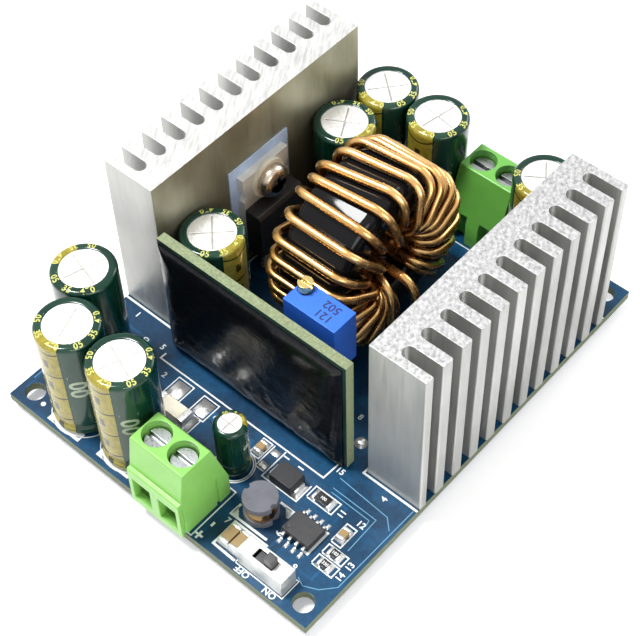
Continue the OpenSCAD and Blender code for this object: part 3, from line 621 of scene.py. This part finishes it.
def board_legend():
    """The white legend: outlines of the parts, plain numbers and the switch's two words."""
    p = Print(0.03)
    p.line([(-17.2, -17.8), (-17.25, -18.85), (16.05, -18.85), (16.2, -15.8)], 0.25)
    for side, low, high in ((-1, -13.7, 32.1), (1, -14.4, 31.4)):
        rim, inner = side * 29.8, side * 19.95
        p.line([(rim, low), (inner, low), (inner, high), (rim, high)], 0.35)
    capacitor_outlines(p)
    p.line([(15.7, -21.15), (15.7, -24.4), (9, -24.4), (9, -19.2)], 0.22)
    for x in (9.7, 12.5):
        p.line([(x - 0.4, -19.75), (x + 0.4, -19.75)], 0.25)
    p.line([(7.05, -19.4), (7.05, -23.7), (8.6, -23.7)], 0.2)
    for low, high in (((16.25, -22.8), (20.95, -20.55)), ((23.9, -28.2), (27.5, -26.5)),
                      ((23.9, -30.4), (27.6, -28.6)), ((23.7, -26.0), (25.5, -22.4)),
                      ((4.85, -22.6), (6.65, -19.4)), ((-12.45, -23.2), (-9.3, -19.6)),
                      ((-7.15, -23.2), (-4.05, -19.6)), ((-12.2, -26.7), (-4.4, -23.4))):
        p.box(low, high)
    p.line([(10, -30.05), (9.95, -31.9), (16.6, -31.8)], 0.38)
    p.line([(14.3, -25.95), (16.6, -25.95), (16.6, -27.1)], 0.38)
    for x, y, way in ((10.1, -31.7, 1), (16.45, -26.1, -1)):
        for i in range(6):
            p.line([(x + way * 0.2 * i, y), (x + way * 0.2 * i, y + way * 0.22 * (5 - i))], 0.24)
    p.line([(17.4, -32.5), (11.35, -32.5), (11.35, -37.05), (15.4, -37.15)], 0.38)
    p.line([(22.3, -25.4), (22.62, -25.4), (22.62, -29.75), (22.2, -29.75)], 0.38)
    p.box((15.8, -37.25), (24.6, -33.75), 0.16)
    p.dot((-24.6, -36.5), 0.4)
    p.box((-3.0, -38.2), (8.1, -28.9), 0.2)
    p.box((-0.4, 28.9), (10.8, 38.2), 0.2)
    for text, at, turn in (("1", (-25.9, -15.2), 0), ("2", (-14.5, -20.8), 0), ("3", (-2.9, -21.4), 90),
                           ("4", (25.1, -15.9), 90), ("5", (-18.4, -17.2), 0), ("6", (17.4, -29.9), 90),
                           ("7", (10.4, -33.1), 0), ("8", (13.3, -7.3), 0), ("9", (22.6, -32.5), 0),
                           ("10", (-21.4, -18.1), 90), ("11", (22.1, -21.7), 90),
                           ("12", (25.3, -21.3), 0), ("13", (28.5, -27.4), 90),
                           ("14", (28.5, -29.5), 90), ("15", (17.2, -16.4), 0),
                           ("ON", (22.7, -37.75), 180), ("OFF", (17.6, -37.75), 180)):
        p.words(text, at, 1.0, turn)
    for text, at in (("+", (9.0, -37.4)), ("-", (9.0, -34.9)),
                     ("+", (-1.3, 37.4)), ("-", (-1.3, 34.9))):
        p.words(text, at, 2.0, 90)
    p.done("board_legend", PRINT_WHITE)


def board_gaps():
    """The narrow pale gaps between pours, where the bare laminate shows through the mask."""
    p = Print(0.016)
    for points in ([(18.3, -19.2), (26.4, -19.3), (26.6, -25.6)],
                   [(18.6, -19.9), (25.7, -20), (25.9, -21)],
                   [(18.0, -17.3), (27.3, -17.9), (28.9, -19.4)],
                   [(-29.3, -34), (-29.3, -14.6)],
                   [(24.1, -33.3), (25.4, -33.9), (27.5, -32.9), (29.3, -30.9), (29.5, -14.8)]):
        p.line(points, 0.13)
    p.done("board_gaps", MASK_LINE)


def board_copper():
    """Tracks and pours under the mask, on both faces, a little lighter than the bare board."""
    p = Print(0.012)
    for points, width in (([(17.85, -30.9), (17.85, -33.6), (20.2, -33.6)], 0.4),
                          ([(19.4, -31), (19.4, -32.4), (25.7, -32.4), (25.7, -30.6)], 0.4),
                          ([(22.0, -24.2), (22.0, -20.6), (19.9, -20.6)], 0.4),
                          ([(-28.6, -17.6), (-20.9, -17.6), (-18.2, -20.2), (-18.2, -27.2)], 0.5),
                          ([(-4.4, -21.4), (3.4, -21.4), (3.4, -28.4)], 1.6),
                          ([(-13.0, -21.4), (-16.0, -21.4), (-16.6, -22.4), (-16.6, -27.4)], 1.6),
                          ([(26.8, 32.4), (26.8, 33.2), (22.0, 38.0)], 0.4),
                          ([(-28.9, -36), (-28.9, -15)], 0.3),
                          ([(11.6, 3), (11.6, 30)], 2.4),
                          ([(-9.0, 14), (-9.0, 27.6), (8.6, 27.6)], 2.4)):
        p.line(points, width)
    p.done("board_copper_top", MASK_TRACK)
    p = Print(0.012, under=True)
    for points, width in (([(0.01, -32.3), (-8.8, -29.9), (-19, -30.2), (-24.6, -26.8)], 3.4),
                          ([(5.09, -32.3), (16, -28), (16, -12), (17.65, 8.1)], 3.2),
                          ([(-17.65, 5.6), (-17.65, -8), (-15.2, -9.8), (-8, -18)], 3.2),
                          ([(11.6, 7.2), (14.2, 14), (14.2, 26), (7.7, 32.3)], 3.6),
                          ([(10, 3.7), (2, 2), (-12, 6), (-17.65, 8.1)], 3.0),
                          ([(2.7, 32.3), (-4.9, 30.1), (-15, 30.1), (-15.2, 24.9)], 3.4),
                          ([(-12.5, -12.6), (-12.5, 16), (-15.2, 19.9)], 0.8),
                          ([(10.6, -12.6), (10.6, -6)], 0.8),
                          ([(18.2, -35.5), (18.2, -20), (8, -14.5)], 0.6),
                          ([(0.8, -12.6), (0.8, 20)], 0.6),
                          ([(3.3, -12.6), (3.3, 12), (8, 28)], 0.6),
                          ([(20.2, -35.5), (26, -30), (26, 28)], 0.6)):
        p.line(points, width)
    p.done("board_copper_under", MASK_TRACK)


def solder_rim(bm, centre, r, height):
    """A low wetted collar round a lead on top of the board. Its radius and height are in millimetres."""
    turn_profile(bm, [(r, 0), (r * 0.8, height * 0.5), (r * 0.45, height), (0, height)], steps=20,
                 centre=(centre.x, centre.y, TOP - SINK))


def solder_on_top():
    """Lands round the leads, fillets at the chip parts, and the tinned lands that carry no part."""
    bm = bmesh.new()
    for node, share in (("power_joints", 0.8), ("signal_joints", 0.85)):
        for low, high in solids(node):
            solder_rim(bm, middle((low, high)), (high.x - low.x) / 2 / MM * share, 0.12)
    solder_rim(bm, on_board(16.3, -10.7), 1.05, 0.6)
    for node, spread, rise in (("chip_terminals", 0.32, 0.75), ("diode_tabs", 0.4, 0.35),
                               ("fuse_caps", 0.6, 0.35)):
        for low, high in solids(node):
            grow = Vector((spread, spread, 0)) * MM
            crest = Vector((high.x, high.y, low.z + (high.z - low.z) * rise))
            add_block(bm, low - grow - Vector((0, 0, SINK)), crest + grow, shrink_top=spread)
    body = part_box("ic_body")
    for low, high in solids("ic_leads"):
        out = 1 if low.y > middle(body).y else -1
        tip = high.y if out > 0 else low.y
        ends = sorted((tip - out * 0.5 * MM, tip + out * 0.55 * MM))
        add_block(bm, (low.x - 0.12 * MM, ends[0], TOP - SINK),
                  (high.x + 0.12 * MM, ends[1], TOP + 0.3 * MM), shrink_top=0.22)
    break_edges(bm, 0.06, 40, 2)
    bmesh.ops.recalc_face_normals(bm, faces=bm.faces)
    piece("solder_on_top", bm, [SOLDER], sharp=70, even=False)
    p = Print(0.05)
    for low, high in (((-12.1, -22.85), (-9.6, -19.95)), ((-6.8, -22.85), (-4.4, -19.95)),
                      ((7.3, -20.75), (8.65, -19.7)), ((7.3, -23.4), (8.65, -22.35))):
        p.patch(low, high)
    break_edges(p.bm, 0.02, 40, 1)
    p.done("tinned_lands", SOLDER)


board_legend()
board_gaps()
board_copper()
solder_on_top()
dressed("heatsink_left", [ALUMINIUM_LEFT], edge=0.14)
dressed("heatsink_right", [ALUMINIUM_RIGHT], edge=0.14)
dressed("heatsink_pins", [TIN], edge=0)
for side in ("left", "right"):
    dressed(f"transistor_{side}_leadframe", [TAB], edge=0.08)
    dressed(f"transistor_{side}_case", [MOULDING], edge=0.15)
dressed("insulating_pads", [PAD_BLUE], edge=0.05)
dressed("insulating_bushes", [NYLON], edge=0.1)
dressed("transistor_screws", [STEEL], edge=0.08)


# Choke


# The core's bore is this far in from its outside, and its edges are rounded by this radius
CORE_WALL = 6.5
CORE_EDGE = 1.7


def coated_core():
    """The coated ring, with the same rounded edges in finer steps."""
    low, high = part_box("choke_core")
    half, outer = (high.x - low.x) / 2 / MM, (high.y - low.y) / 2 / MM
    side, rim, bore = half - CORE_EDGE, outer - CORE_EDGE, outer - CORE_WALL + CORE_EDGE
    corners = ((rim, side, 0), (bore, side, 90), (bore, -side, 180), (rim, -side, 270))
    profile = [p for x, y, start in corners for p in arc((x, y), CORE_EDGE, start, start + 90, 8)]
    bm = bmesh.new()
    turn_profile(bm, profile + profile[:1], steps=96, centre=middle((low, high)),
                 axis=(1, 0, 0), out=(0, 1, 0))
    bmesh.ops.recalc_face_normals(bm, faces=bm.faces)
    piece("choke_core_coated", bm, [CORE_BLACK], stands_for=["choke_core"],
          even=False)


coated_core()


def bend_points(a, b, c, radius, steps):
    """The arc that rounds the corner at b."""
    d, after = (b - a).normalized(), (c - b).normalized()
    angle = d.angle(after)
    if angle < 0.02:
        return [b]
    out = d.cross(d.cross(after).normalized())
    cut = radius * math.tan(angle / 2)
    centre = b - cut * d - radius * out
    turns = [angle * i / steps for i in range(steps + 1)]
    return [centre + radius * (math.cos(t) * out + math.sin(t) * d) for t in turns]


def swept(points, radius):
    """A round bar along points in metres, as a bmesh."""
    curve = bpy.data.curves.new("bar", "CURVE")
    curve.dimensions = "3D"
    curve.bevel_depth = radius
    curve.bevel_resolution = 4
    curve.use_fill_caps = True
    spline = curve.splines.new("POLY")
    spline.points.add(len(points) - 1)
    for place, point in zip(spline.points, points):
        place.co = (*point, 1)
    maker = bpy.data.objects.new("bar", curve)
    bpy.context.scene.collection.objects.link(maker)
    bpy.context.view_layer.update()
    mesh = bpy.data.meshes.new_from_object(maker.evaluated_get(bpy.context.evaluated_depsgraph_get()))
    bpy.data.objects.remove(maker)
    bpy.data.curves.remove(curve)
    bm = bmesh.new()
    bm.from_mesh(mesh)
    bpy.data.meshes.remove(mesh)
    return bm


def winding():
    """One continuous wire, with the turns and leads where the solid winding has them."""
    wire_r, gap, face_gap, step, turns = 0.7 * MM, 0.1 * MM, 0.7 * MM, 1.25 * MM, 28
    tight_bend, wide_bend = 2.8 * MM, 3 * MM
    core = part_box("choke_core")
    centre = middle(core)
    outer = (core[1].y - core[0].y) / 2
    coil_r = outer + gap + wire_r
    coil_x = (core[1].x - core[0].x) / 2 + face_gap + wire_r
    bore_r = outer - CORE_WALL * MM - gap - wire_r

    def outer_angle(i):
        if i < 13:
            return -50 + 9 * i
        return 58 + 15.3 * (i - 12) if i < 19 else 149.8 + 12 * (i - 18)

    def inner_angle(i):
        if i < 13:
            return -50 + 9.6 * i
        if i < 16:
            return 72.8 + 14 * (i - 13)
        return 122 + 22 * (i - 16) if i < 19 else 184.5 + 8.3 * (i - 19)

    def lean(i):
        return max(0, min(10, 2 * (i - 7), 5 * (16 - i)))

    def spot(x, r, angle):
        a = math.radians(angle)
        return Vector((x, centre.y + r * math.cos(a), centre.z + r * math.sin(a)))

    def beside_axis(x, place):
        return Vector((x, centre.y + place[0] * MM, centre.z + place[1] * MM))

    # Where the leads and the first turn pass, in millimetres across and up from the core's axis
    start_lead, first_turn, end_lead = (-2.1, 0.8), (-0.3, -5.6), (-3.85, 0.9)
    start_x, end_out_x, end_x, end_y = 11.6 * MM, 4.6 * MM, 10 * MM, 3.7 * MM
    far = coil_x + step
    farther = far + step + 0.1 * MM
    path = [Vector((start_x, centre.y + start_lead[0] * MM, UNDER)), beside_axis(start_x, start_lead),
            beside_axis(-far, start_lead), beside_axis(-far, first_turn),
            spot(-coil_x, coil_r, outer_angle(0)), spot(coil_x, coil_r, outer_angle(0))]
    for i in range(turns):
        inset = step * (i % 2)
        near = spot(coil_x + inset, bore_r - inset, inner_angle(i))
        path.append(near)
        if i < turns - 1:
            path += [Vector((-near.x, near.y, near.z)),
                     spot(-coil_x, coil_r, outer_angle(i + 1) + lean(i + 1)),
                     spot(coil_x, coil_r, outer_angle(i + 1))]
    path += [Vector((-farther, path[-1].y, path[-1].z)), beside_axis(-farther, end_lead),
             beside_axis(end_out_x, end_lead), Vector((end_x, end_y, centre.z + end_lead[1] * MM)),
             Vector((end_x, end_y, UNDER))]
    points = [path[0]]
    for before, corner, after in zip(path, path[1:], path[2:]):
        points += bend_points(before, corner, after, tight_bend if corner.x < 0 else wide_bend, 7)
    points.append(path[-1])
    piece("choke_wire", swept(points, wire_r), [COPPER],
          stands_for=["choke_winding"], sharp=60, even=False)


winding()


# Capacitors

def sleeve_profile(r, h):
    """A shrunk sleeve from its turned-in foot, over the can's bead, to its lip on the can's top."""
    return ([(r - 0.9, 0.35), (r - 0.5, 0.32)] + arc((r - 0.4, 0.72), 0.4, -90, 0)
            + [(r, 1.3)] + arc((r + 0.35, 2.2), 0.62, 230, 130)
            + [(r, 3.1), (r, h - 0.9)] + arc((r - 0.7, h - 0.7), 0.7, 0, 90, 8)
            + [(r * 0.76, h), (r * 0.735, h - 0.06), (r * 0.73, h - 0.2)])


def capacitor_sleeve(node, facing):
    low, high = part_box(node)
    centre = middle((low, high))
    r, h = (high.x - low.x) / 2 / MM, (high.z - TOP) / MM
    bm = bmesh.new()
    turn_profile(bm, sleeve_profile(r, h), centre=(centre.x, centre.y, TOP))
    bmesh.ops.recalc_face_normals(bm, faces=bm.faces)
    finish = shrunk_sleeve(node + "_film", (centre.x, centre.y, 0), facing, high.z)
    piece(node + "_film", bm, [finish], stands_for=[node], sharp=50)


for name, facing in FACINGS.items():
    capacitor_sleeve(SLEEVE + name, facing)
CAN_TOPS = [top for _, top in solids("capacitor_cans")]


def can_score_shade_paint(face):
    """The floor of the score in each can's top is rougher and painted a darker grey: painted shade in
    the recess.
    """
    at = face.calc_center_median()
    depths = [top.z - at.z for top in CAN_TOPS if (at - top).xy.length < 12 * MM]
    return int(face.normal.z > 0.9 and any(0.02 * MM < depth < 1 * MM for depth in depths))


dressed("capacitor_cans", [CAN, CAN_SCORE_PAINTED_SHADE], edge=0.03, paint=can_score_shade_paint)


def capacitor_prints():
    """Plain numbers: small ones round each rim, and large ones down each side beside the stripe."""
    rims, sides = bmesh.new(), bmesh.new()
    for name, facing in FACINGS.items():
        low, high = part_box(SLEEVE + name)
        centre, r = middle((low, high)), (high.x - low.x) / 2
        small = name == "small"
        rim_words = "105  16  105" if small else "105   35   470   105   35   470"
        side_words = ("47", "16") if small else ("100", "35")
        shoulder, mid_r = 0.7 * MM, r - 0.62 * MM
        start = math.radians(facing + 40)

        def rim_place(co):
            a, rho = start + co.x / mid_r, mid_r - co.y
            past = max(0.0, rho - (r - shoulder))
            drop = shoulder - math.sqrt(max(0.0, shoulder ** 2 - past ** 2))
            return Vector((centre.x + rho * math.cos(a), centre.y + rho * math.sin(a),
                           high.z - drop + co.z))

        def side_place(co):
            a = side_angle + co.y / r
            reach = r + co.z
            return Vector((centre.x + reach * math.cos(a), centre.y + reach * math.sin(a),
                           mid_z - co.x))

        add_text(rims, rim_words, 0.55 if small else 0.95, wrap=rim_place, spacing=1.1)
        for words, turn, drop in zip(side_words, (50, -50), (0.4, 0.35)):
            side_angle = math.radians(facing + turn)
            mid_z = high.z - (high.z - TOP) * drop
            add_text(sides, words, 1.3 if small else 2.7, wrap=side_place)
    piece("capacitor_rim_numbers", rims, [PRINT_YELLOW], sharp=50, even=False)
    piece("capacitor_side_numbers", sides, [PRINT_GREY], sharp=50, even=False)


capacitor_prints()
dressed("capacitor_bungs", [BUNG], edge=0)
dressed("capacitor_leads", [TIN], edge=0)


# Screw terminals

for end, green in (("input", TERMINAL_GREEN), ("output", TERMINAL_DARK)):
    dressed(f"{end}_terminal_housing", [green], edge=0.12)
    dressed(f"{end}_terminal_contacts", [TIN], edge=0.04)
    for pole in "ab":
        dressed(f"{end}_terminal_screw_{pole}", [SCREW_STEEL], edge=0.12)
        dressed(f"{end}_terminal_cage_{pole}", [NICKEL], edge=0.06)


# Control board and trimmer

dressed("control_board", [MASK_GREEN, PALE_BOARD_EDGE], edge=0.06, paint=control_board_paint)
dressed("control_pins", [BRASS], edge=0.04)
dressed("trimmer_body", [TRIMMER_BLUE], edge=0.12)
dressed("trimmer_screw", [BRASS], edge=0.06)
dressed("trimmer_pins", [TIN], edge=0)


def flat_numbers(name, rows, finish, height, turn):
    """Plain numbers lying on upward faces. rows are (words, place)."""
    bm = bmesh.new()
    for words, place in rows:
        add_text(bm, words, height, place, turn)
    piece(name, bm, [finish], sharp=50, even=False)


def trimmer_numbers():
    low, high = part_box("trimmer_body")
    rows = [(words, Vector((high.x - 3.1 * MM, low.y + up * MM, high.z)))
            for words, up in (("502", 3.2), ("121", 1.35))]
    flat_numbers("trimmer_numbers", rows, PRINT_DARK, 1.35, 180)


trimmer_numbers()


def poured_potting():
    """A poured sheet with a lumpy face over the front of the control board."""
    low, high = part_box("control_potting")
    bm = bmesh.new()
    add_block(bm, low, high)
    for _ in range(3):
        bmesh.ops.subdivide_edges(bm, edges=bm.edges, cuts=3, use_grid_fill=True)
    depth = high.y - low.y
    lumps_per_metre, rim_steepness, thinnest = 420, 26, 0.06
    for vert in bm.verts:
        across = (vert.co.x - low.x) / (high.x - low.x)
        up = (vert.co.z - low.z) / (high.z - low.z)
        edge = min(across, 1 - across, up * 0.7, (1 - up) * 0.7)
        swell = 1 - math.exp(-edge * rim_steepness)
        lumps = noise.fractal(vert.co * lumps_per_metre, 0.7, 2.1, 5) * 0.22
        rough = max(0.0, 0.6 - up) * (0.25 + 0.6 * across)
        thickness = 0.1 + 0.38 * swell + swell * rough * (0.35 + lumps)
        if vert.co.y < high.y - 1e-6:
            share = (high.y - vert.co.y) / depth
            vert.co.y = high.y - depth * min(1.0, max(thinnest, thickness)) * share
    piece("potting_poured", bm, [POTTING], stands_for=["control_potting"],
          sharp=70, even=False)


poured_potting()


# Slide switch

dressed("switch_shell", [SHELL], edge=0.14, segments=3)
dressed("switch_base", [BASE_BLACK], edge=0)
dressed("switch_slider", [KNOB_GREY], edge=0.15)
dressed("switch_pins", [TIN], edge=0)


# Small parts

dressed("drum_choke_core", [FERRITE], edge=0.1)
dressed("drum_choke_winding", [COPPER], edge=0)
dressed("ic_body", [IC_GREY], edge=0.06)
dressed("ic_leads", [TIN], edge=0.02)
dressed("diode_body", [MOULDING], edge=0.08)
dressed("diode_tabs", [TIN], edge=0.03)
dressed("fuse_body", [FUSE_CERAMIC], edge=0.1)
dressed("fuse_caps", [TIN], edge=0.12)
dressed("chip_resistors", [RESISTOR], edge=0.03)
dressed("chip_capacitors", [CERAMIC], edge=0.05)
dressed("chip_terminals", [TIN], edge=0.06)


def resistor_numbers():
    bodies = [box for box in solids("chip_resistors") if box[0].z < TOP + MM]
    rows = [(words, Vector((*middle(box).xy, box[1].z)))
            for words, box in zip(("330", "103", "100"), bodies)]
    flat_numbers("resistor_numbers", rows, PRINT_WHITE, 0.5, 0)


resistor_numbers()


# Solder under the board

def solder_profile(r, h):
    """A joint from its wetted edge down to the clipped lead."""
    flank = [(r * (0.42 + 0.5 * (1 - t) ** 2.2), -h * t * 0.86) for t in (0.12, 0.3, 0.5, 0.7, 0.88)]
    return [(r, 0)] + flank + [(r * 0.36, -h * 0.9), (r * 0.3, -h), (0.0, -h)]


def solder_joints(node):
    bm = bmesh.new()
    for low, high in solids(node):
        centre = middle((low, high))
        r, h = (high.x - low.x) / 2 / MM, (high.z - low.z) / MM
        turn_profile(bm, solder_profile(r, h), steps=24, centre=(centre.x, centre.y, high.z))
    bmesh.ops.recalc_face_normals(bm, faces=bm.faces)
    piece(node + "_wetted", bm, [SOLDER], stands_for=[node], sharp=60, even=False)


solder_joints("power_joints")
solder_joints("signal_joints")


# Stage, light and camera

def camera():
    """A long lens from the front right, above."""
    azimuth, elevation, roll = math.radians(42.8), math.radians(52.19), math.radians(-1.87)
    aim, distance = Vector((1.0, -2.2, 12.0)) * MM, 234.9 * MM
    data = bpy.data.cameras.new("camera")
    data.lens = 88.5
    data.sensor_width = 36
    data.clip_start = 0.01
    data.clip_end = 20
    back = Vector((math.sin(azimuth) * math.cos(elevation), -math.cos(azimuth) * math.cos(elevation),
                   math.sin(elevation)))
    obj = bpy.data.objects.new("camera", data)
    turn = back.to_track_quat("Z", "Y").to_matrix().to_4x4() @ Matrix.Rotation(roll, 4, "Z")
    obj.matrix_world = Matrix.Translation(aim + distance * back) @ turn
    bpy.context.scene.collection.objects.link(obj)
    bpy.context.scene.camera = obj


LAMP_AIM = Vector((0, 0, 0.01))
SKY_LIGHT = 0.42
FLOOR_GLOW = 0.3


def lamp(name, place, size, power):
    """A round lamp that faces the middle of the object. size is its width in metres."""
    data = bpy.data.lights.new(name, "AREA")
    data.shape = "DISK"
    data.size = size
    data.energy = power
    obj = bpy.data.objects.new(name, data)
    place = Vector(place)
    turn = (place - LAMP_AIM).to_track_quat("Z", "Y").to_matrix().to_4x4()
    obj.matrix_world = Matrix.Translation(place) @ turn
    bpy.context.scene.collection.objects.link(obj)


def shown(nodes, links):
    """1 for the rays that see the background: those of the camera, of reflections and through glass."""
    path = nodes.new("ShaderNodeLightPath")
    seen = path.outputs["Is Camera Ray"]
    for ray in ("Is Glossy Ray", "Is Transmission Ray"):
        more = nodes.new("ShaderNodeMath")
        more.operation = "MAXIMUM"
        links.new(seen, more.inputs[0])
        links.new(path.outputs[ray], more.inputs[1])
        seen = more.outputs[0]
    return seen


def studio():
    world = bpy.data.worlds.new("studio")
    bpy.context.scene.world = world
    world.use_nodes = True
    nodes, links = world.node_tree.nodes, world.node_tree.links
    background = nodes["Background"]
    background.inputs["Color"].default_value = (1, 1, 1, 1)
    level = nodes.new("ShaderNodeMapRange")
    level.inputs["To Min"].default_value = SKY_LIGHT
    level.inputs["To Max"].default_value = 1.0
    links.new(shown(nodes, links), level.inputs["Value"])
    links.new(level.outputs["Result"], background.inputs["Strength"])
    bm = bmesh.new()
    bmesh.ops.create_grid(bm, x_segments=1, y_segments=1, size=4)
    mesh = bpy.data.meshes.new("floor")
    bm.to_mesh(mesh)
    bm.free()
    floor = bpy.data.objects.new("floor", mesh)
    bpy.context.scene.collection.objects.link(floor)
    f = Finish("floor", (0.93, 0.93, 0.93, 1), 0.9)
    glow = f.maths("MULTIPLY", shown(f.tree.nodes, f.tree.links), FLOOR_GLOW)
    f.set("Emission Color", (1, 1, 1, 1))
    f.feed("Emission Strength", glow)
    mesh.materials.append(f.material)


bpy.context.scene.view_settings.view_transform = "Standard"
camera()
studio()
lamp("key", (-0.3, -0.14, 0.84), 0.24, 9.5)
lamp("fill", (0.8, -0.3, 0.45), 0.6, 4.5)
lamp("rim", (0.1, 0.8, 0.5), 0.5, 3)
